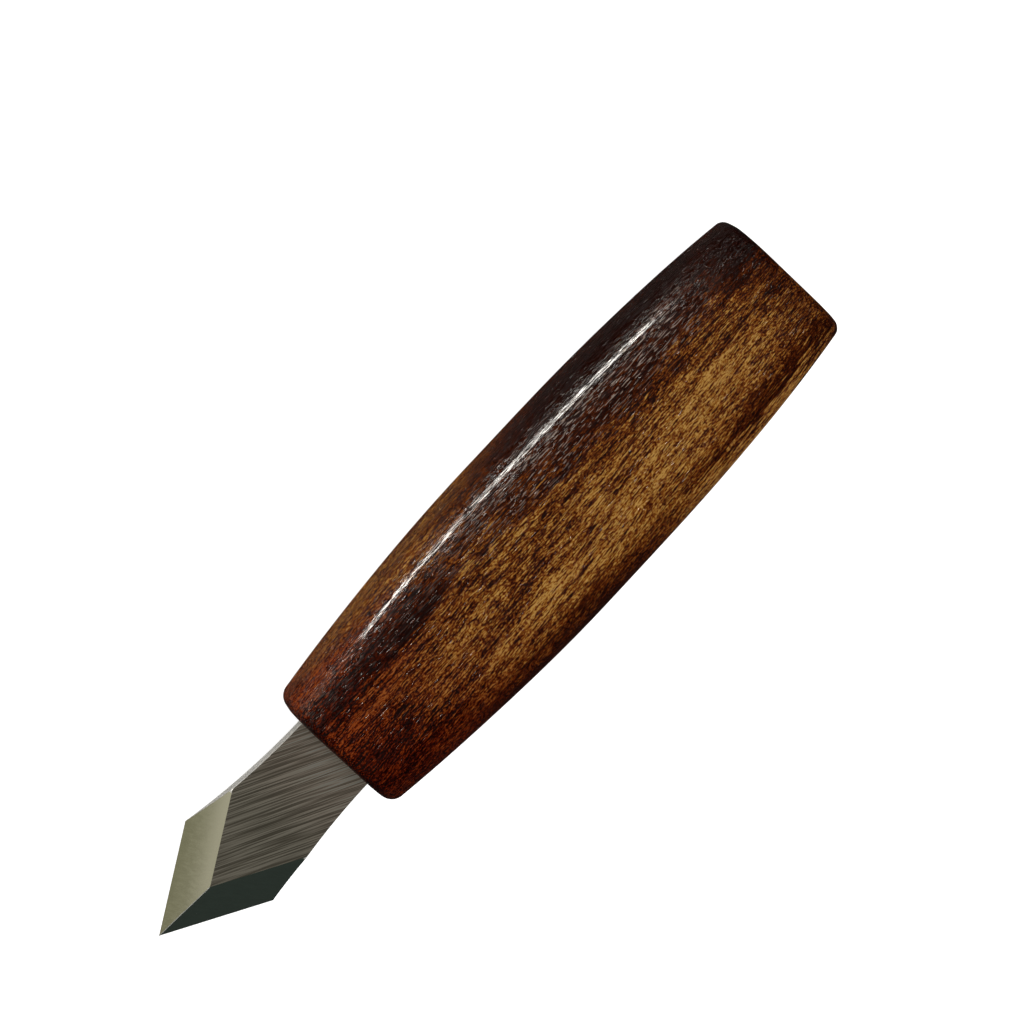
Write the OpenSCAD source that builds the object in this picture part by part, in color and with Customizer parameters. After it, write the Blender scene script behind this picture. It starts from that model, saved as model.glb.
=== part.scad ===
// Whittling knife: a flat-backed spear-point blade, held by its hidden tang in a one-piece
// barrel-shaped handle. The knife lies on the handle's belly with the bevels up. +X runs from
// the butt to the tip, and the origin is on the resting surface, under the middle of the knife.

/* [Handle] */
// Length of the handle along the grain
handle_l = 110; // [95:1:135]
// Distance from the butt to the widest section
belly_x = 60; // [45:1:75]
// Width at the widest section
belly_w = 31.6; // [27:0.2:38]
// Width at the butt
butt_w = 26; // [22:0.2:31]
// Width at the front
front_w = 25.4; // [21.2:0.2:30.6]
// Thickness at the widest section
belly_t = 24; // [20:0.2:29]
// Thickness at the butt
butt_t = 21; // [17.5:0.1:25.2]
// Thickness at the front
front_t = 20.6; // [17.2:0.1:24.8]
// Radius of the four long corners
corner_r = 8; // [6:0.1:8.5]
// How full the sides stay towards the butt, as a power
butt_fullness = 2.8; // [1.6:0.1:3.4]
// How full the sides stay towards the front, as a power
front_fullness = 1.9; // [1.6:0.1:3.4]
// Radius of the edge round the butt face
butt_round = 1.6; // [0.5:0.1:3]
// Radius of the edge round the front face
front_round = 2.2; // [0.5:0.1:3]

/* [Blade] */
// Length of the blade from the handle's front face to the tip
blade_l = 43; // [35:0.5:60]
// Thickness of the bar the blade is ground from
blade_t = 3; // [2.5:0.1:4]
// Width across the two shoulders, where the edges begin
shoulder_w = 20.4; // [17:0.2:24.6]
// Width of the neck at the handle
neck_w = 15.4; // [12.8:0.2:16.8]
// Angle between the two cutting edges, seen from above
tip_angle = 61; // [50:1:74]
// Angle of each bevel to the flat back
bevel_angle = 26; // [21:1:32]

/* [Tang] */
// Length of the tang inside the handle
tang_l = 60; // [45:1:75]
// Width of the tang
tang_w = 10; // [8:0.1:12]
// Steel ground off each face of the tang
tang_relief = 0.3; // [0.25:0.01:0.5]
// Length of the tang's tapered end
tang_point_l = 9; // [6:0.5:12]
// Width of the tang's blunt end
tang_point_w = 5; // [3:0.1:6]
// Radius of the glue notches ground into the tang's edges
notch_r = 1.2; // [0.8:0.05:1.5]
// Distance from one glue notch to the next
notch_pitch = 14; // [10:0.5:17]
// Distance from the handle's front face to the first notch
notch_start = 9; // [6:0.5:12]

/* [Mortise] */
// Adhesive between the tang and the mortise, on every side
glue_gap = 0.2; // [0.1:0.01:0.24]
// Adhesive left beyond the end of the tang
glue_end = 2; // [1:0.1:4]

/* [Hidden] */

overall_l = handle_l + blade_l;
butt_at = -overall_l / 2;
front_at = butt_at + handle_l;
axis_z = belly_t / 2;

tang_t = blade_t - 2 * tang_relief;
mortise_w = tang_w + 2 * glue_gap;
mortise_t = tang_t + 2 * glue_gap;
mortise_l = tang_l + glue_end;
notch_count = 3;

half_tip = tip_angle / 2;
shoulder_x = blade_l - shoulder_w / 2 / tan(half_tip);
waist_depth = (shoulder_w - neck_w) / 2;
waist_r = (pow(shoulder_x, 2) + pow(waist_depth, 2)) / (2 * waist_depth);

walnut_brown = [0.36, 0.20, 0.09];
ground_steel = [0.60, 0.60, 0.58];
cured_epoxy = [0.80, 0.68, 0.38];

corner_steps = 8;
edge_steps = 5;
body_steps = 28;
round_fn = 96;
past = 1;

// Size of a section x from the butt: full at the belly and falling off by a power to each end.
function barrel(x, belly, butt, front) =
    x < belly_x
    ? belly - (belly - butt) * pow((belly_x - x) / belly_x, butt_fullness)
    : belly - (belly - front) * pow((x - belly_x) / (handle_l - belly_x), front_fullness);

// How far the rounded end edges draw a section in, x from the butt.
function end_inset(x) =
    x < butt_round
    ? butt_round - sqrt(max(0, pow(butt_round, 2) - pow(butt_round - x, 2)))
    : x > handle_l - front_round
    ? front_round - sqrt(max(0, pow(front_round, 2) - pow(x - handle_l + front_round, 2)))
    : 0;

// The section x from the butt: four quarter arcs round a rectangle, counterclockwise from +Y.
function section(x) =
    let (
        inset = end_inset(x),
        r = corner_r - inset,
        y = barrel(x, belly_w, butt_w, front_w) / 2 - corner_r,
        z = barrel(x, belly_t, butt_t, front_t) / 2 - corner_r
    )
    [for (corner = [0:3], i = [0:corner_steps])
        let (
            turn = 90 * corner + 90 * i / corner_steps,
            side_y = corner == 0 || corner == 3 ? 1 : -1,
            side_z = corner < 2 ? 1 : -1
        )
        [x, side_y * y + r * cos(turn), side_z * z + r * sin(turn)]];

// Places of the sections: close together round the two end edges, even along the body.
stations = concat(
    [for (i = [0:edge_steps - 1]) butt_round * (1 - cos(90 * i / edge_steps))],
    [for (i = [0:body_steps])
        butt_round + (handle_l - butt_round - front_round) * i / body_steps],
    [for (i = [edge_steps - 1:-1:0]) handle_l - front_round * (1 - cos(90 * i / edge_steps))]
);

// One closed skin through all the sections, with a flat face at each end.
module handle_block() {
    ring = 4 * (corner_steps + 1);
    last = len(stations) - 1;
    points = [for (x = stations) each section(x)];
    sides = [for (s = [0:last - 1], i = [0:ring - 1])
        let (a = s * ring + i, b = s * ring + (i + 1) % ring)
        each [[a, b, b + ring], [a, b + ring, a + ring]]];
    butt_face = [for (i = [ring - 1:-1:0]) i];
    front_face = [for (i = [0:ring - 1]) last * ring + i];
    translate([butt_at, 0, axis_z])
        polyhedron(points, concat(sides, [butt_face, front_face]));
}

// Places what is drawn from the handle's front face, on the handle's axis.
module at_front() {
    translate([front_at, 0, axis_z])
        children();
}

// A bar on the axis from x0 to x1, as wide and thick as given.
module bar(x0, x1, width, thickness) {
    translate([x0, -width / 2, -thickness / 2])
        cube([x1 - x0, width, thickness]);
}

// Outline of the tang from above, with its tapered blunt end.
module tang_outline(reach) {
    polygon([
        [reach, tang_w / 2],
        [tang_point_l - tang_l, tang_w / 2],
        [-tang_l, tang_point_w / 2],
        [-tang_l, -tang_point_w / 2],
        [tang_point_l - tang_l, -tang_w / 2],
        [reach, -tang_w / 2]
    ]);
}

// The tang, with half-round glue notches on both edges. It reaches into the blade by `reach`.
module tang(reach) {
    difference() {
        translate([0, 0, -tang_t / 2])
            linear_extrude(tang_t)
                tang_outline(reach);
        for (i = [0:notch_count - 1], side = [-1, 1])
            translate([-notch_start - i * notch_pitch, side * tang_w / 2, 0])
                cylinder(r = notch_r, h = tang_t + 2 * past, center = true, $fn = round_fn);
    }
}

// The wheel that grinds one hollow side of the neck.
module waist_cut() {
    translate([0, neck_w / 2 + waist_r, 0])
        cylinder(r = waist_r, h = blade_t + 2 * past, center = true, $fn = round_fn);
}

// Everything above one bevel: a block turned to the cutting edge and tilted up from the flat back.
module bevel_cut() {
    reach = 2 * blade_l;
    translate([blade_l, 0, -blade_t / 2])
        rotate([0, 0, 180 - half_tip])
            rotate([bevel_angle, 0, 0])
                translate([-reach / 2, -reach, 0])
                    cube([2 * reach, 2 * reach, reach]);
}

module blade() {
    color(ground_steel)
        at_front()
            union() {
                difference() {
                    bar(0, blade_l + past, shoulder_w + 2 * past, blade_t);
                    for (side = [0, 1])
                        mirror([0, side, 0]) {
                            waist_cut();
                            bevel_cut();
                        }
                }
                tang(past);
            }
}

// The slot in the handle that takes the tang.
module mortise(mouth) {
    at_front()
        bar(-mortise_l, mouth, mortise_w, mortise_t);
}

module tang_adhesive() {
    color(cured_epoxy)
        difference() {
            mortise(0);
            at_front()
                tang(past);
        }
}

module handle() {
    color(walnut_brown)
        difference() {
            handle_block();
            mortise(past);
        }
}

handle();
blade();
tang_adhesive();
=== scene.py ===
"""Looks of the whittling knife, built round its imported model: the camera, the wooden handle, the
ground blade, the adhesive between them, and the pale table with its lights."""

import math

import bpy
import numpy as np
from mathutils import Matrix, Vector


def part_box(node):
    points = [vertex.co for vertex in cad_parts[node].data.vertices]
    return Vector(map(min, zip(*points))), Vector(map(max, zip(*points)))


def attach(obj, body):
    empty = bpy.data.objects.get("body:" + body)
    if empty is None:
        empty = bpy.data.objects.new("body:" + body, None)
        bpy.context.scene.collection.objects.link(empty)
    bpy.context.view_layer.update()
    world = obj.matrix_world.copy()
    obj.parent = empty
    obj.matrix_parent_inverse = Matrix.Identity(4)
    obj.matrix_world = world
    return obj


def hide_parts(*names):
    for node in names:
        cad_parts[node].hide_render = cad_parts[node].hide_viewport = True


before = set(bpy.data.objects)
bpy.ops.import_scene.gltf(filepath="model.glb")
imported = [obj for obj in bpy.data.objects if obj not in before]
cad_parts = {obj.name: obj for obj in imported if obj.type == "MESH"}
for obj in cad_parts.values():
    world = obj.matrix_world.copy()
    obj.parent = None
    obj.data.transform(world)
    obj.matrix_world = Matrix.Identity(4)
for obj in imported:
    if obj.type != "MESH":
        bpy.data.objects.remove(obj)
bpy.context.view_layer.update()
scene = bpy.context.scene
MM = 0.001

# ---- Camera --------------------------------------------------------------------------------
# The knife lies on its belly and is seen from above by a long lens, leaning a little to the
# knife's right side (-Y), so that this side of the handle shows. The tip points down and left.

handle_low, handle_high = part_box("handle")
blade_low, blade_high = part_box("blade")
butt_x = handle_low.x
front_x = handle_high.x
tip_x = blade_high.x
axis_z = (handle_low.z + handle_high.z) / 2

LEAN = math.radians(12.4)
HEADING = math.radians(-133.08)  # of the tip in the view, from the view's right
LENS = 200  # on a 36 mm sensor
VIEW_WIDTH = 172 * MM
LOOK_AT = (60.36 * MM, -5.65 * MM)  # along the knife from the butt, and across it

along = Vector((1, 0, 0))
across = Vector((0, math.cos(LEAN), math.sin(LEAN)))
back = along.cross(across)
right = along * math.cos(HEADING) - across * math.sin(HEADING)
up = along * math.sin(HEADING) + across * math.cos(HEADING)
target = Vector((butt_x, 0, axis_z)) + along * LOOK_AT[0] + across * LOOK_AT[1]

camera_data = bpy.data.cameras.new("camera")
camera_data.lens = LENS
camera_data.sensor_width = 36
camera_data.clip_start = 0.05
distance = VIEW_WIDTH * camera_data.lens / camera_data.sensor_width
camera = bpy.data.objects.new("camera", camera_data)
scene.collection.objects.link(camera)
placed = Matrix((right, up, back)).transposed().to_4x4()
placed.translation = target + back * distance
camera.matrix_world = placed
scene.camera = camera

# ---- Handle --------------------------------------------------------------------------------
# One block of dark walnut, shaped to a barrel with big rounded corners, sanded, stained darker
# at both ends where the end grain drinks, and finished with a clear gloss lacquer that sinks
# into the open pores. The tang's mortise is cut into its front face.

HANDLE_LENGTH = front_x - butt_x
BELLY_AT = 60 * MM  # from the butt
BELLY = (handle_high.y - handle_low.y, handle_high.z - handle_low.z)  # width, thickness
BUTT = (26 * MM, 21 * MM)
FRONT = (25.4 * MM, 20.6 * MM)
BUTT_FULLNESS = 2.8
FRONT_FULLNESS = 1.9
CORNER_RADIUS = 8 * MM
BUTT_ROUND = 1.6 * MM
FRONT_ROUND = 2.2 * MM
MORTISE = (10.4 * MM, 2.8 * MM, 62 * MM)  # width, thickness, depth
MORTISE_CORNER = 0.05 * MM
SANDING = 0.035 * MM  # height of the waves that hand sanding leaves


def barrel(x, side):
    """Width (side 0) or thickness (side 1) at x from the butt: the belly's size, less its surplus
    over that end's size times (distance from the belly / distance of that end) to a power."""
    to_butt = np.clip((BELLY_AT - x) / BELLY_AT, 0, 1) ** BUTT_FULLNESS
    to_front = np.clip((x - BELLY_AT) / (HANDLE_LENGTH - BELLY_AT), 0, 1) ** FRONT_FULLNESS
    lost_to_butt = (BELLY[side] - BUTT[side]) * to_butt
    lost_to_front = (BELLY[side] - FRONT[side]) * to_front
    return BELLY[side] - lost_to_butt - lost_to_front


def rounded_rings(x, half_width, half_thickness, radius, flat_steps=7, arc_steps=18):
    """Rounded rectangles in the YZ plane, one a row: each quarter runs from the middle of one flat
    to the middle of the next, as (half size - radius) * c + radius * n, where n is the unit normal
    and c is 1 in the arc and runs from 0 to 1 along a flat."""
    run = np.linspace(0, 1, flat_steps, endpoint=False)
    turn = np.linspace(0, math.pi / 2, arc_steps)
    ones = np.ones_like(run)
    centre_y = np.concatenate([ones, np.ones_like(turn), run[::-1]])
    centre_z = np.concatenate([run, np.ones_like(turn), ones])
    normal_y = np.concatenate([ones, np.cos(turn), 0 * run])
    normal_z = np.concatenate([0 * run, np.sin(turn), ones])
    corner = np.stack([centre_y, centre_z, normal_y, normal_z])
    opposite = (corner * np.array([[-1], [1], [-1], [1]]))[:, ::-1][:, 1:]
    upper = np.concatenate([corner, opposite], axis=1)
    lower = (upper * np.array([[1], [-1], [1], [-1]]))[:, ::-1][:, 1:-1]
    c_y, c_z, n_y, n_z = np.concatenate([upper, lower], axis=1)
    column = [np.broadcast_to(np.asarray(v, float), np.shape(x))[:, None]
              for v in (half_width, half_thickness, radius)]
    y = (column[0] - column[2]) * c_y + column[2] * n_y
    z = (column[1] - column[2]) * c_z + column[2] * n_z
    return np.stack([np.broadcast_to(x[:, None], y.shape), y, z], axis=-1)


def closed_skin(name, rings, start, end):
    """A closed surface through rings of points: quads join each ring to the next one, and a fan
    of triangles round the points `start` and `end` closes each end."""
    rows, ring = rings.shape[:2]
    points = np.concatenate([rings.reshape(-1, 3), [start, end]])
    row, column = np.meshgrid(np.arange(rows - 1), np.arange(ring), indexing="ij")
    here = row * ring + column
    beside = row * ring + (column + 1) % ring
    quads = np.stack([here, beside, beside + ring, here + ring], axis=-1).reshape(-1, 4)
    edge = np.arange(ring)
    turned = (edge + 1) % ring
    last = (rows - 1) * ring
    first_fan = np.stack([turned, edge, np.full(ring, rows * ring)], axis=-1)
    last_fan = np.stack([last + edge, last + turned, np.full(ring, rows * ring + 1)], axis=-1)
    mesh = bpy.data.meshes.new(name)
    mesh.from_pydata(points.tolist(), [], quads.tolist() + first_fan.tolist() + last_fan.tolist())
    mesh.update()
    piece = bpy.data.objects.new(name, mesh)
    scene.collection.objects.link(piece)
    return piece


def shade_smooth(piece, crease):
    """Smooth shading, kept sharp along the edges that turn by more than `crease` degrees."""
    piece.data.polygons.foreach_set("use_smooth", np.ones(len(piece.data.polygons), bool))
    piece.data.set_sharp_from_angle(angle=math.radians(crease))


def half_sizes(x, inset=0):
    """Half width, half thickness and corner radius of the handle x from its butt, drawn in by
    an inset that rounds its ends."""
    return barrel(x, 0) / 2 - inset, barrel(x, 1) / 2 - inset, CORNER_RADIUS - inset


def handle_rings():
    """The skin from the middle of the butt face, over its rounded edge, along the body, over the
    front edge and face, and down the mortise. The body's waves are two crossing sines whose
    height fades to nothing at both ends."""
    quarter = np.linspace(0, math.pi / 2, 11)
    face = np.linspace(0.04, 1, 8)[:-1]
    rows = []
    half_w, half_t, radius = half_sizes(0.0, BUTT_ROUND)
    rows.append((0 * face, face * half_w, face * half_t, face * radius))
    x = BUTT_ROUND * (1 - np.cos(quarter))
    rows.append((x, *half_sizes(x, BUTT_ROUND * (1 - np.sin(quarter)))))
    x = np.linspace(BUTT_ROUND, HANDLE_LENGTH - FRONT_ROUND, 322)[1:-1]
    rows.append((x, *half_sizes(x)))
    x = HANDLE_LENGTH - FRONT_ROUND * (1 - np.cos(quarter[::-1]))
    rows.append((x, *half_sizes(x, FRONT_ROUND * (1 - np.sin(quarter[::-1])))))
    share = np.linspace(0, 1, 10)[1:]
    mouth = (MORTISE[0] / 2, MORTISE[1] / 2, MORTISE_CORNER)
    outline = half_sizes(HANDLE_LENGTH, FRONT_ROUND)
    rows.append((HANDLE_LENGTH + 0 * share, *(o + (m - o) * share for o, m in zip(outline, mouth))))
    x = np.linspace(HANDLE_LENGTH, HANDLE_LENGTH - MORTISE[2], 12)[1:]
    rows.append((x, *(m + 0 * x for m in mouth)))
    rings = np.concatenate([rounded_rings(*row) for row in rows])
    x, y, z = rings[..., 0], rings[..., 1], rings[..., 2]
    fade = np.sin(np.pi * np.clip(x / HANDLE_LENGTH, 0, 1)) ** 0.5
    outside = np.hypot(y, z) > MORTISE[0]
    around = np.arctan2(z, y)
    waves = np.sin(x / (5.3 * MM) + 2 * around) + np.sin(x / (8.1 * MM) - 3 * around + 1)
    swell = 1 + SANDING / 2 * waves * fade * outside / np.maximum(np.hypot(y, z), MM)
    rings[..., 1] = y * swell
    rings[..., 2] = z * swell
    return rings + np.array([butt_x, 0, axis_z])


handle = closed_skin("walnut_handle", handle_rings(), (butt_x, 0, axis_z),
                     (front_x - MORTISE[2], 0, axis_z))
shade_smooth(handle, 40)


def add(tree, kind, inputs=None, **settings):
    """One shader node in `tree`. `inputs` maps a socket's name or number to a constant or to an
    output to link from, and the settings are the node's own properties."""
    made = tree.nodes.new("ShaderNode" + kind)
    for key, value in settings.items():
        setattr(made, key, value)
    for key, value in (inputs or {}).items():
        if isinstance(value, bpy.types.NodeSocket):
            tree.links.new(value, made.inputs[key])
        else:
            made.inputs[key].default_value = value
    return made


def calc(tree, operation, *values):
    """The output of one Math node."""
    return add(tree, "Math", dict(enumerate(values)), operation=operation).outputs[0]


def fit(tree, value, low, high, to_low=0.0, to_high=1.0):
    """A value carried smoothly from the span low..high to the span to_low..to_high, and held
    there outside it."""
    spans = {"Value": value, "From Min": low, "From Max": high, "To Min": to_low, "To Max": to_high}
    return add(tree, "MapRange", spans, interpolation_type="SMOOTHSTEP").outputs[0]


def mix(tree, share, under, over, how="MIX"):
    """Two colours mixed by a share of the second."""
    made = add(tree, "Mix", {0: share, 6: under, 7: over}, data_type="RGBA", blend_type=how)
    return made.outputs[2]


def ramp(tree, value, stops):
    """A colour read off a scale of (place, (r, g, b)) stops."""
    made = add(tree, "ValToRGB", {0: value})
    scale = made.color_ramp.elements
    while len(scale) < len(stops):
        scale.new(0.5)
    for mark, (place, colour) in zip(scale, stops):
        mark.position = place
        mark.color = (*colour, 1)
    return made.outputs[0]


def in_cells(tree, vector, size):
    """Object coordinates counted in pattern cells of the given size in millimetres."""
    metres = tuple(s * MM for s in size)
    return add(tree, "VectorMath", {0: vector, 1: metres}, operation="DIVIDE").outputs[0]


def noise(tree, vector, detail, roughness):
    """The value of a Noise texture on coordinates already counted in cells."""
    values = {"Vector": vector, "Scale": 1.0, "Detail": detail, "Roughness": roughness}
    return add(tree, "TexNoise", values).outputs[0]


def new_group(name, inputs, outputs):
    """An empty shader node group with named sockets, as (group, input node, output node). An
    input is (name, type, default value)."""
    group = bpy.data.node_groups.new(name, "ShaderNodeTree")
    sockets = group.interface
    for label, kind, value in inputs:
        made = sockets.new_socket(name=label, in_out="INPUT", socket_type="NodeSocket" + kind)
        if value is not None:
            made.default_value = value
    for label, kind in outputs:
        sockets.new_socket(name=label, in_out="OUTPUT", socket_type="NodeSocket" + kind)
    return group, group.nodes.new("NodeGroupInput"), group.nodes.new("NodeGroupOutput")


def new_material(name):
    """A node material, as (material, tree, its Principled shader, object coordinates)."""
    material = bpy.data.materials.new(name)
    material.use_nodes = True
    tree = material.node_tree
    shader = tree.nodes["Principled BSDF"]
    return material, tree, shader, tree.nodes.new("ShaderNodeTexCoord").outputs["Object"]


# Marks in the block, and a painted sheen on the right side near the front, seen from above: (place
# along the handle from the butt and across it, half length, half width, slope to the handle, how
# much lighter or darker). Millimetres.
MARKS_AND_SHEEN = (
    ((45, 5.6), 42, 5.2, 0.10, 0.25),  # the amber stripe
    ((13, -0.5), 20, 7.5, 0.05, 0.04),  # where it spreads at the butt
    ((92, -4.2), 16, 2.2, 0.20, 0.20),  # two lighter wisps towards the front
    ((77, -0.6), 18, 3.4, 0.18, 0.12),
    ((30, -13.5), 44, 8.0, 0.02, -0.38),  # dark heartwood along the right side
    ((28, -19.5), 30, 6.5, 0.00, -0.24),
    ((97, -9.0), 20, 4.0, 0.04, -0.30),
    ((81.5, -7.4), 8, 2.1, 0.04, -0.40),  # a dark blotch
    ((3, -7.0), 7, 8.5, 0.00, -0.20),  # the right corner of the butt
    ((15, 5.4), 20, 1.7, 0.00, -0.12),  # dark lines by the left edge
    ((17, 9.4), 22, 1.2, 0.05, -0.34),
    ((17, 14.5), 28, 4.5, 0.00, 0.27),  # and lighter wood below it
    ((70, 15.0), 32, 5.0, 0.00, -0.42),
    ((113, 8.5), 19, 9.0, 0.10, -0.20),  # the left front corner
    ((101, -18.5), 27, 5.0, 0.00, 0.14),  # the lower right side near the front: lighter wood and a painted sheen
    ((103, -12.3), 11, 2.2, 0.00, 0.24),  # and a lighter strip above it: a painted sheen
)
PLAIN = 0.53  # lightness of the wood away from its marks
GRAIN_SLOPE = 0.045  # of the grain to the handle, seen from above
GRAIN_FAN = 4.0  # how much that slope grows, per metre to the left
GRAIN_RISE = 0.03  # slope of the grain seen from the side
GRAIN_WAVE = 1.5 * MM  # how far it wanders from straight
STAIN_FRONT = (42, 4)  # where the stain begins and is full, in millimetres from the front face
STAIN_BUTT = (9, -1)  # and from the butt
STAIN_FRAY = 24.0  # how ragged its edge is
STAIN_SIDES = 0.06  # how much sooner it begins at the sides, per millimetre squared
DENT_DEPTH = 0.015 * MM  # of the lacquer over a pore
CHIP_DEPTH = 6.0  # of a chip in the lacquer, in dents
LACQUER = 0.10  # weight of the lacquer between the pores

walnut, tree, shader, spot = new_material("lacquered walnut")
place = add(tree, "SeparateXYZ", {0: spot})
x_mm = calc(tree, "MULTIPLY", place.outputs[0], 1 / MM)
y_mm = calc(tree, "MULTIPLY", place.outputs[1], 1 / MM)

# The grain fans out a little towards the front, and waves as it runs along the block.
from_middle = calc(tree, "SUBTRACT", place.outputs[0], (butt_x + front_x) / 2)
fan = calc(tree, "MULTIPLY_ADD", place.outputs[1], GRAIN_FAN, GRAIN_SLOPE)
leaned = calc(tree, "SUBTRACT", place.outputs[1], calc(tree, "MULTIPLY", from_middle, fan))
raised = calc(tree, "MULTIPLY_ADD", from_middle, GRAIN_RISE, place.outputs[2])
straight = add(tree, "CombineXYZ", {0: place.outputs[0], 1: leaned, 2: raised}).outputs[0]
waves = {"Vector": in_cells(tree, straight, (20, 8, 8)), "Scale": 1.0, "Detail": 1.0}
wander = add(tree, "TexNoise", waves).outputs["Color"]
for operation, amount in (("SUBTRACT", (0.5, 0.5, 0.5)), ("MULTIPLY", (0, GRAIN_WAVE, GRAIN_WAVE))):
    wander = add(tree, "VectorMath", {0: wander, 1: amount}, operation=operation).outputs[0]
grain = add(tree, "VectorMath", {0: straight, 1: wander}, operation="ADD").outputs[0]

# Streaks, from bands some millimetres wide down to single fibres.
bands = fit(tree, noise(tree, in_cells(tree, grain, (20, 2.0, 2.0)), 4.0, 0.65), 0.3, 0.7)
threads = fit(tree, noise(tree, in_cells(tree, grain, (6, 0.45, 0.45)), 2.0, 0.6), 0.36, 0.64)
fibres = fit(tree, noise(tree, in_cells(tree, grain, (2.0, 0.18, 0.18)), 1.0, 0.5), 0.40, 0.60)
ripple = fit(tree, noise(tree, in_cells(tree, grain, (0.45, 0.17, 0.17)), 0.0, 0.5), 0.38, 0.62)

# Open vessels, cut into dashes: many short fine ones, and some long ones.
dashes = noise(tree, in_cells(tree, straight, (2.2, 0.20, 0.20)), 1.0, 0.5)
lines = noise(tree, in_cells(tree, grain, (10, 0.50, 0.50)), 1.0, 0.5)
open_pores = calc(tree, "MAXIMUM", fit(tree, dashes, 0.55, 0.60), fit(tree, lines, 0.62, 0.68))
dents = fit(tree, dashes, 0.46, 0.66)

# Chips in the lacquer, a few more of them beside the right corner.
beside_corner = calc(tree, "MULTIPLY", fit(tree, y_mm, -5.0, -9.5), fit(tree, y_mm, -15.0, -13.5))
chips = noise(tree, in_cells(tree, straight, (2.2, 0.22, 0.22)), 0.0, 0.5)
chips = fit(tree, calc(tree, "MULTIPLY_ADD", beside_corner, 0.09, chips), 0.60, 0.85)

# Lightness: the marks, with edges frayed by the streaks and leaning as they go down into the
# block, then the streaks and the pores, which stand out less in dark wood.
frayed = place.outputs[1]
for layer, middle, reach in (
    (bands, 0.5, 3.2 * MM),
    (threads, 0.5, 1.6 * MM),
    (place.outputs[2], handle_high.z, 0.35),
):
    frayed = calc(tree, "MULTIPLY_ADD", calc(tree, "SUBTRACT", layer, middle), reach, frayed)
light = PLAIN
for (mark_x, mark_y), half_length, half_width, slope, change in MARKS_AND_SHEEN:
    away_x = calc(tree, "SUBTRACT", place.outputs[0], butt_x + mark_x * MM)
    away_y = calc(tree, "SUBTRACT", calc(tree, "MULTIPLY_ADD", away_x, -slope, frayed), mark_y * MM)
    away = add(tree, "CombineXYZ", {0: calc(tree, "DIVIDE", away_x, half_length * MM),
                                    1: calc(tree, "DIVIDE", away_y, half_width * MM)}).outputs[0]
    away = add(tree, "VectorMath", {0: away}, operation="LENGTH").outputs["Value"]
    light = calc(tree, "MULTIPLY_ADD", fit(tree, away, 1.35, 0.45), change, light)
streaks = calc(tree, "MULTIPLY", open_pores, -0.46)
for layer, share in ((bands, 0.28), (threads, 0.28), (fibres, 0.36), (ripple, 0.50)):
    streaks = calc(tree, "MULTIPLY_ADD", calc(tree, "SUBTRACT", layer, 0.5), share, streaks)
light = calc(tree, "MULTIPLY_ADD", streaks, fit(tree, light, 0.0, 0.55, 0.30, 1.0), light)
wood = ramp(tree, light, [
    (0.00, (0.010, 0.001, 0.0002)),
    (0.20, (0.034, 0.005, 0.001)),
    (0.40, (0.090, 0.017, 0.0025)),
    (0.60, (0.195, 0.053, 0.008)),
    (0.80, (0.325, 0.126, 0.019)),
    (1.00, (0.500, 0.268, 0.065)),
])

# Both ends have drunk more stain, the right side less of it: red over the front third, and nearly
# black at the butt. The last of the front edge, by the blade, is darkened as painted shade.
front_mm = front_x / MM
butt_mm = butt_x / MM
soak = noise(tree, in_cells(tree, grain, (9, 2.2, 2.2)), 3.0, 0.6)
soak = calc(tree, "MULTIPLY", calc(tree, "SUBTRACT", soak, 0.5), STAIN_FRAY)
sides = calc(tree, "POWER", y_mm, 2.0)
toward_front = calc(tree, "MULTIPLY_ADD", sides, STAIN_SIDES, calc(tree, "ADD", soak, x_mm))
toward_front = fit(tree, toward_front, front_mm - STAIN_FRONT[0], front_mm - STAIN_FRONT[1])
toward_front = calc(tree, "MULTIPLY", toward_front, fit(tree, y_mm, -15.0, -12.5, 0.1))
toward_butt = calc(tree, "MULTIPLY_ADD", soak, 0.4, x_mm)
toward_butt = fit(tree, toward_butt, butt_mm + STAIN_BUTT[0], butt_mm + STAIN_BUTT[1])
# Painted shade: the rounded front edge, where the handle meets the blade, is darkened.
painted_front_shade = fit(tree, x_mm, front_mm - 1.4, front_mm - 0.3)
wood = mix(tree, painted_front_shade, wood, (0.30, 0.18, 0.15, 1), "MULTIPLY")
wood = mix(tree, toward_front, wood, (0.52, 0.20, 0.15, 1), "MULTIPLY")
wood = mix(tree, toward_butt, wood, (0.45, 0.30, 0.25, 1), "MULTIPLY")

# Beside the right corner, pale dashes over the vessels: painted glints, light caught on broken
# lacquer.
painted_glints = noise(tree, in_cells(tree, straight, (1.7, 0.20, 0.20)), 0.0, 0.5)
painted_glints = fit(tree, painted_glints, 0.64, 0.68)
for share in (
    beside_corner,
    fit(tree, y_mm, -14.2, -12.8),
    fit(tree, x_mm, butt_mm + 80, butt_mm + 45, 0.1, 0.8),
    fit(tree, x_mm, butt_mm + 8, butt_mm + 20),
):
    painted_glints = calc(tree, "MULTIPLY", painted_glints, share)
# Painted glints: the pale dashes are mixed into the wood's colour.
wood = mix(tree, painted_glints, wood, (0.33, 0.255, 0.215, 1))

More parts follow.
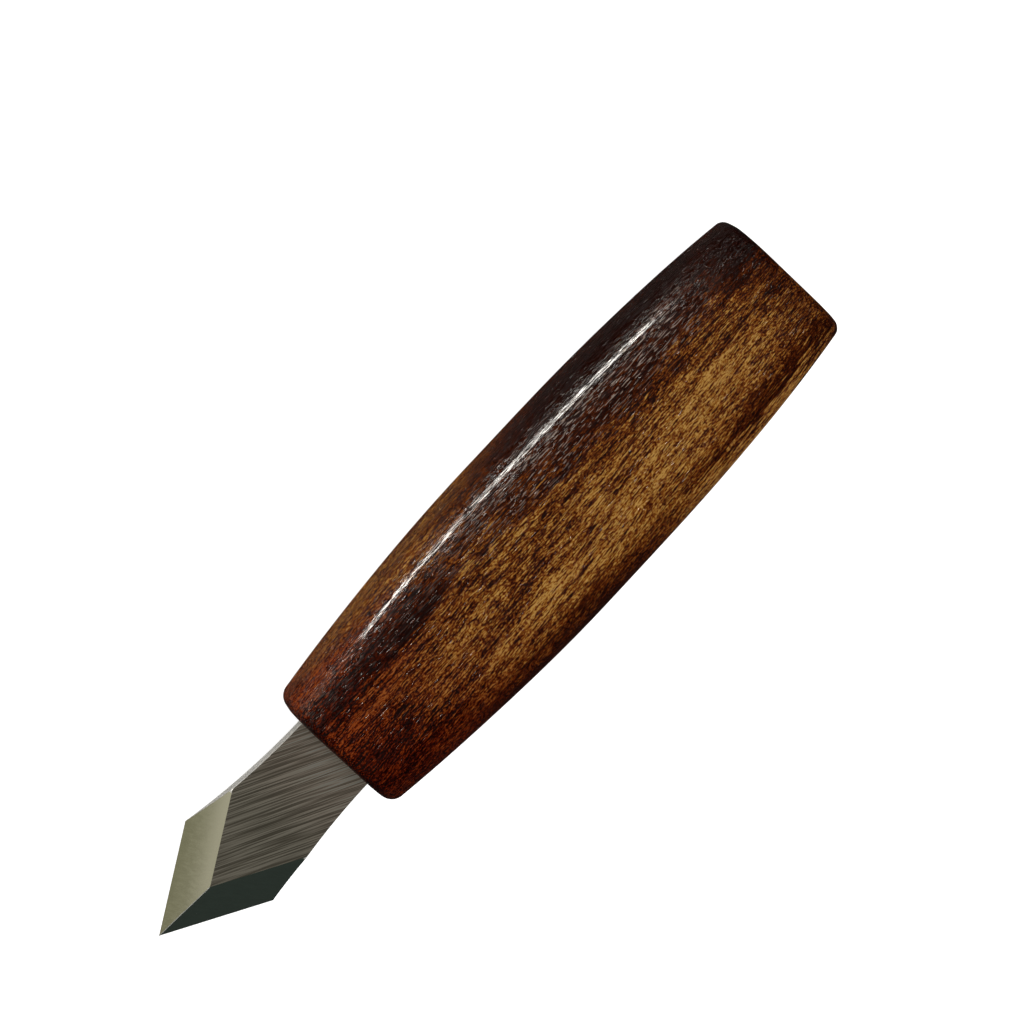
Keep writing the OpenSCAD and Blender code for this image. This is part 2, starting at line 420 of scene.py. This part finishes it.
# The lacquer sinks over the vessels and the chips, and is missing in the open ones, so they are
# dull.
height = calc(tree, "SUBTRACT", calc(tree, "MULTIPLY", chips, -CHIP_DEPTH), dents)
surface = add(tree, "Bump", {"Strength": 1.0, "Distance": DENT_DEPTH, "Height": height})
rough = calc(tree, "MULTIPLY_ADD", open_pores, 0.9, fit(tree, bands, 0.0, 1.0, 0.05, 0.08))
tree.links.new(wood, shader.inputs["Base Color"])
tree.links.new(rough, shader.inputs["Roughness"])
tree.links.new(surface.outputs[0], shader.inputs["Normal"])
coat = calc(tree, "MULTIPLY_ADD", open_pores, -LACQUER, LACQUER)
tree.links.new(coat, shader.inputs["Coat Weight"])
shader.inputs["Coat Roughness"].default_value = 0.05
shader.inputs["IOR"].default_value = 1.5
shader.inputs["Specular IOR Level"].default_value = 0.13

handle.data.materials.append(walnut)
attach(handle, "root")
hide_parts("handle")

# ---- Blade ---------------------------------------------------------------------------------
# A bar of tool steel, 3 mm thick. Its flat faces are surface ground on the slant, both flanks of
# the neck are hollow ground, and two bevels meet in a ridge and come down to the flat back along
# the cutting edges. The tang behind it is thinner, narrower and notched for the adhesive.

BLADE_LENGTH = tip_x - front_x
BLADE_BACK = blade_low.z
BLADE_THICKNESS = blade_high.z - blade_low.z
SHOULDER = (blade_high.y - blade_low.y) / 2
NECK = 7.7 * MM
HALF_TIP = math.radians(30.5)
BEVEL = math.radians(26)
BEVEL_RUN = BLADE_THICKNESS / math.tan(BEVEL)  # plan width of a bevel, square to its edge
HOLLOW_RADIUS = 90 * MM  # of the wheel that ground the bevels
SHOULDER_AT = BLADE_LENGTH - SHOULDER / math.tan(HALF_TIP)
NECK_RADIUS = (SHOULDER_AT**2 + (SHOULDER - NECK) ** 2) / (2 * (SHOULDER - NECK))
EDGE = 0.03 * MM  # what is left of the thickness at the cutting edge
EASED = 0.05 * MM  # broken corners, across the face they end
EASED_DOWN = 0.12 * MM  # and down from it
RIDGE = 0.05 * MM  # half width of the ridge between the bevels
SEAT_CHAMFER = 0.16 * MM
TANG = (5 * MM, 60 * MM, 0.3 * MM)  # half width, length, relief on each face
TANG_END = (2.5 * MM, 9 * MM)  # half width at the end, length of its taper
NOTCH = (1.2 * MM, 9 * MM, 14 * MM, 3)  # radius, first place, pitch, count
BEVEL_STEPS = 8  # faces across each bevel
BEVEL_START = 0.7 * MM  # half width beyond the neck's at which the bevels begin


def bevel_height(x, y):
    """Height over the back of either bevel, from the plan distance d to its cutting edge:
    d * tan(bevel), less the hollow d * (run - d) / (2 * radius of the wheel)."""
    d = (BLADE_LENGTH - x) * math.sin(HALF_TIP) - np.abs(y) * math.cos(HALF_TIP)
    hollow = np.clip(d, 0, BEVEL_RUN) * (BEVEL_RUN - np.clip(d, 0, BEVEL_RUN)) / (2 * HOLLOW_RADIUS)
    return d * math.tan(BEVEL) - hollow


def blade_half_width(x):
    """Half width x from the handle: a circular hollow up to the shoulder, then a straight edge."""
    neck = NECK + NECK_RADIUS - np.sqrt(NECK_RADIUS**2 - np.minimum(x, SHOULDER_AT) ** 2)
    point = np.maximum((BLADE_LENGTH - x) * math.tan(HALF_TIP), EDGE)
    return np.where(x < SHOULDER_AT, neck, point)


def tang_half_width(x):
    """Half width of the tang, x negative: straight, then tapered to its end, less the round
    notches, whose depth is the height of a circle over its middle."""
    taper = np.clip((-x - TANG[1] + TANG_END[1]) / TANG_END[1], 0, 1)
    width = TANG[0] + (TANG_END[0] - TANG[0]) * taper
    radius, first, pitch, count = NOTCH
    for i in range(count):
        width = width - np.sqrt(np.clip(radius**2 - (x + first + i * pitch) ** 2, 0, None))
    return width


def section_rings(x, half_width, low, high, eased, flat_half):
    """Cross-sections of the steel, one a row, going round from the left of the back: back, side,
    bevel, flat top, bevel, side. A bevel's points lie evenly between the side and the flat, at
    the bevel's height or, where there is no bevel, on a corner eased by that much."""
    share = np.linspace(0, 1, BEVEL_STEPS + 1)
    y = half_width[:, None] + (flat_half - half_width)[:, None] * share
    limit = high[:, None] - eased[:, None] * (EASED_DOWN / EASED) * (1 - share)
    z = np.clip(bevel_height(x[:, None], y), (low + EDGE)[:, None], limit)
    side_low = low + np.minimum(eased, EDGE) / 2
    right_half = np.concatenate([(half_width - eased)[:, None], half_width[:, None], y], axis=1)
    right_z = np.concatenate([low[:, None], side_low[:, None], z], axis=1)
    ring_y = np.concatenate([right_half, -right_half[:, ::-1]], axis=1)
    ring_z = np.concatenate([right_z, right_z[:, ::-1]], axis=1)
    return np.stack([np.broadcast_to(x[:, None], ring_y.shape), ring_y, ring_z], axis=-1)


def blade_rings():
    """The steel from the tang's end to the tip: the tang's rows, the seat against the handle, with
    its small chamfer, the neck's rows, and the point's rows."""
    radius, first, pitch, count = NOTCH
    arc = radius * np.cos(np.linspace(0, math.pi, 17))
    notches = [-first - i * pitch + arc for i in range(count)]
    x = np.sort(np.concatenate([[-TANG[1], TANG_END[1] - TANG[1], 0], *notches]))
    one = np.ones_like(x)
    tang = section_rings(x, tang_half_width(x), TANG[2] * one, (BLADE_THICKNESS - TANG[2]) * one,
                         EASED * one, tang_half_width(x) - EASED)
    x = np.concatenate([[0, SEAT_CHAMFER], np.linspace(SEAT_CHAMFER, SHOULDER_AT, 70)[1:],
                        np.linspace(SHOULDER_AT, BLADE_LENGTH, 60)[1:]])
    cut = SEAT_CHAMFER * (x <= 0)
    width = blade_half_width(x) - cut
    run_out = (BLADE_LENGTH - x) * math.tan(HALF_TIP) - BEVEL_RUN / math.cos(HALF_TIP)
    eased = np.minimum(EASED, width / 3)
    flat = np.clip(run_out, np.minimum(RIDGE, width / 3), width - eased)
    neck = section_rings(x, width, cut, BLADE_THICKNESS - cut, eased, flat)
    return np.concatenate([tang, neck]) + np.array([front_x, 0, BLADE_BACK]), len(tang)


rings, tang_rows = blade_rings()
blade = closed_skin("ground_blade", rings, rings[0].mean(axis=0), rings[-1].mean(axis=0))
shade_smooth(blade, 4)

# Faces by finish: 0 the flats, 1 the bevels, 2 the flanks, eased corners and the ridge between
# the bevels, 3 the tang.
columns = rings.shape[1]
column = np.arange(columns)
side_columns = (column == 0) | (column == columns - 2)
middle = columns // 2 - 1
finish = np.where((column == columns - 1) | (column == middle), 0, 1)
finish = np.where(side_columns | (column == 1) | (column == columns - 3), 2, finish)
by_face = np.tile(finish, (len(rings) - 1, 1))
by_face[: tang_rows] = 3
row_x = rings[:-1, 0, 0] - front_x
ridge_from = BLADE_LENGTH - BEVEL_RUN / math.sin(HALF_TIP)
bevels_from = ridge_from - (NECK + BEVEL_START) / math.tan(HALF_TIP)
by_face[(row_x < bevels_from)[:, None] & (by_face == 1)] = 2
by_face[row_x > ridge_from, middle] = 2
fans = np.concatenate([np.full(columns, 3), np.full(columns, 1)])
by_face = np.concatenate([by_face.ravel(), fans]).astype(np.int32)
blade.data.polygons.foreach_set("material_index", by_face)

# Lines that a grinding wheel leaves, drawn out along its direction: broad ones, fine ones, and a
# few deeper scratches.
lines, given, out = new_group(
    "grinding lines",
    [("Vector", "Vector", None), ("Turn", "Vector", None), ("Broad", "Vector", None),
     ("Fine", "Vector", None), ("Fine share", "Float", 0.5)],
    [("Lines", "Float"), ("Scratches", "Float")],
)
given = given.outputs
turned = add(lines, "Mapping", {"Vector": given["Vector"], "Rotation": given["Turn"]}).outputs[0]
layers = {0: given["Fine share"]}
for socket, layer in ((2, "Broad"), (3, "Fine")):
    cells = add(lines, "VectorMath", {0: turned, 1: given[layer]}, operation="DIVIDE").outputs[0]
    layers[socket] = noise(lines, cells, 1.0, 0.5)
both = add(lines, "Mix", layers, data_type="FLOAT").outputs[0]
scratch = noise(lines, in_cells(lines, turned, (9, 0.12, 0.12)), 1.0, 0.5)
lines.links.new(fit(lines, both, 0.38, 0.62), out.inputs["Lines"])
lines.links.new(fit(lines, scratch, 0.68, 0.76), out.inputs["Scratches"])


def steel(name, turn, broad, fine, fine_share, dark, light, roughness, depth, metallic=1.0,
          by_handle=None):
    """A ground steel: the lines swing its colour from dark to light and its roughness over the
    given span, and are `depth` millimetres deep. Fresh scratches catch the light. Where
    `by_handle` is given, the steel is multiplied by that colour towards the handle."""
    material, tree, shader, spot = new_material(name)
    size = {"Broad": tuple(s * MM for s in broad), "Fine": tuple(s * MM for s in fine)}
    ground = add(tree, "Group", {"Vector": spot, "Turn": (0, 0, math.radians(turn)), **size,
                                 "Fine share": fine_share}, node_tree=lines)
    patch = noise(tree, in_cells(tree, spot, (9, 5, 5)), 3.0, 0.6)
    tone = calc(tree, "MULTIPLY_ADD", calc(tree, "SUBTRACT", patch, 0.5), 0.35, ground.outputs[0])
    colour = mix(tree, tone, (*dark, 1), (*light, 1))
    if by_handle:
        along_knife = add(tree, "SeparateXYZ", {0: spot}).outputs[0]
        near_handle = fit(tree, along_knife, front_x + 18 * MM, front_x + 2 * MM)
        colour = mix(tree, near_handle, colour, (*by_handle, 1), "MULTIPLY")
    colour = mix(tree, calc(tree, "MULTIPLY", ground.outputs[1], 0.5), colour, (0.85, 0.84, 0.8, 1))
    rough = fit(tree, ground.outputs[0], 0.0, 1.0, *roughness)
    height = calc(tree, "SUBTRACT", ground.outputs[0], ground.outputs[1])
    bump = add(tree, "Bump", {"Strength": 0.6, "Distance": depth * MM, "Height": height})
    tree.links.new(colour, shader.inputs["Base Color"])
    tree.links.new(rough, shader.inputs["Roughness"])
    tree.links.new(bump.outputs[0], shader.inputs["Normal"])
    shader.inputs["Metallic"].default_value = metallic
    return material


flat_steel = steel("surface-ground steel", 28, (12, 0.23, 0.23), (9, 0.17, 0.17), 0.45,
                   (0.35, 0.34, 0.305), (0.84, 0.82, 0.76), (0.28, 0.40), 0.004,
                   by_handle=(1.42, 1.31, 1.34))
bevel_steel = steel("fine-ground bevel", 60, (4, 0.6, 0.6), (2, 0.09, 0.09), 0.6,
                    (0.85, 0.84, 0.70), (0.93, 0.92, 0.77), (0.11, 0.15), 0.0004)
flank_steel = steel("hollow-ground flank", 90, (3, 0.3, 0.3), (2, 0.1, 0.1), 0.5,
                    (0.42, 0.42, 0.41), (0.52, 0.51, 0.49), (0.50, 0.60), 0.003, 0.4)
tang_steel = steel("rough-ground tang", 0, (5, 0.5, 0.5), (3, 0.2, 0.2), 0.5,
                   (0.22, 0.21, 0.2), (0.4, 0.39, 0.37), (0.45, 0.6), 0.01)
for finished in (flat_steel, bevel_steel, flank_steel, tang_steel):
    blade.data.materials.append(finished)
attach(blade, "root")
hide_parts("blade")

# ---- Adhesive ------------------------------------------------------------------------------
# A bed of cured amber epoxy fills the mortise round the tang, a few tenths of a millimetre thick.
# It is poured in, squeezed out flush by the blade, and holds small bubbles.

epoxy, tree, shader, spot = new_material("cured epoxy")
cloud = noise(tree, in_cells(tree, spot, (4, 3, 3)), 4.0, 0.6)
bubbles = add(tree, "TexVoronoi", {"Vector": in_cells(tree, spot, (1.1, 1.1, 1.1)), "Scale": 1.0})
bubble = fit(tree, bubbles.outputs["Distance"], 0.28, 0.14)
colour = mix(tree, fit(tree, cloud, 0.3, 0.7), (0.42, 0.25, 0.07, 1), (0.68, 0.50, 0.22, 1))
colour = mix(tree, calc(tree, "MULTIPLY", bubble, 0.5), colour, (0.85, 0.75, 0.5, 1))
bump = add(tree, "Bump", {"Strength": 0.5, "Distance": 0.05 * MM, "Height": bubble})
tree.links.new(colour, shader.inputs["Base Color"])
tree.links.new(fit(tree, cloud, 0.2, 0.8, 0.15, 0.35), shader.inputs["Roughness"])
tree.links.new(bump.outputs[0], shader.inputs["Normal"])
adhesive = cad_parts["tang_adhesive"]
adhesive.data.materials.clear()
adhesive.data.materials.append(epoxy)

# ---- Table and light -----------------------------------------------------------------------
# A pale table under soft studio light. A small window stands low on the knife's right side and
# draws the highlight along the handle. A dim panel stands beside it, and two big softboxes, one
# beyond each end of the knife, light it without showing in it. The rest of the room is dim.

TABLE_SIZE = 6.0  # metres


def look_direction(turn, rise):
    """The unit vector towards a place `turn` degrees from -Y towards +X and `rise` degrees up."""
    turn, rise = math.radians(turn), math.radians(rise)
    level = Vector((math.sin(turn), -math.cos(turn), 0)) * math.cos(rise)
    return level + Vector((0, 0, math.sin(rise)))


def softbox(name, turn, rise, distance, size, radiance, colour=(1, 1, 1)):
    """A rectangular light facing the knife, sized in degrees as seen from it."""
    data = bpy.data.lights.new(name, "AREA")
    data.shape = "RECTANGLE"
    data.size = 2 * distance * math.tan(math.radians(size[0] / 2))
    data.size_y = 2 * distance * math.tan(math.radians(size[1] / 2))
    data.energy = radiance * math.pi * data.size * data.size_y
    data.color = colour
    light = bpy.data.objects.new(name, data)
    direction = look_direction(turn, rise)
    light.matrix_world = direction.to_track_quat("Z", "Y").to_matrix().to_4x4()
    light.location = Vector((0, 0, axis_z)) + direction * distance
    light.visible_camera = False
    scene.collection.objects.link(light)
    return light


window = softbox("window", 0, 13.6, 1.2, (22, 11), 75, (1.0, 0.97, 0.90))
window.visible_diffuse = False
softbox("wide_panel", 26, 14, 1.2, (28, 24), 2.2, (1.0, 0.90, 0.68))
for fill in (softbox("tip_softbox", 92, 55, 1.4, (50, 50), 1.9),
             softbox("butt_softbox", 268, 55, 1.4, (50, 50), 1.9)):
    fill.visible_glossy = False

world = bpy.data.worlds.new("studio")
world.use_nodes = True
scene.world = world
tree = world.node_tree
ground = tree.nodes["Background"]
seen = tree.nodes.new("ShaderNodeTexCoord").outputs["Generated"]
glow = (0.02, 0.02, 0.018, 1)
for direction, reach, colour in (
    ((0.0, 0.21, 0.98), (0.55, 1.0), (0.135, 0.119, 0.094, 1)),  # warm grey overhead
    ((0.43, -0.51, 0.75), (0.86, 0.98), (0.188, 0.184, 0.130, 1)),  # a brighter patch of wall
    ((0.51, -0.60, 0.62), (0.9915, 0.9975), (0.42, 0.40, 0.34, 1)),  # with a bright spot on it
    ((0.35, 0.82, 0.45), (0.55, 0.9), (0.024, 0.032, 0.031, 1)),  # dark green to the left
):
    facing = add(tree, "VectorMath", {0: seen, 1: direction}, operation="DOT_PRODUCT")
    glow = mix(tree, fit(tree, facing.outputs["Value"], *reach), glow, colour)
camera_sees = add(tree, "LightPath").outputs["Is Camera Ray"]
tree.links.new(mix(tree, camera_sees, glow, (0.95, 0.95, 0.95, 1)), ground.inputs["Color"])

table_mesh = bpy.data.meshes.new("table")
corners = np.array([(-1, -1, 0), (1, -1, 0), (1, 1, 0), (-1, 1, 0)]) * TABLE_SIZE / 2
table_mesh.from_pydata(corners.tolist(), [], [(0, 1, 2, 3)])
table = bpy.data.objects.new("table", table_mesh)
scene.collection.objects.link(table)
pale, tree, shader, spot = new_material("pale table")
shader.inputs["Base Color"].default_value = (0.65, 0.65, 0.65, 1)
shader.inputs["Roughness"].default_value = 0.7
shader.inputs["Emission Color"].default_value = (1, 1, 1, 1)
shader.inputs["Emission Strength"].default_value = 0.9
table_mesh.materials.append(pale)
table.visible_glossy = False

scene.view_settings.view_transform = "Standard"
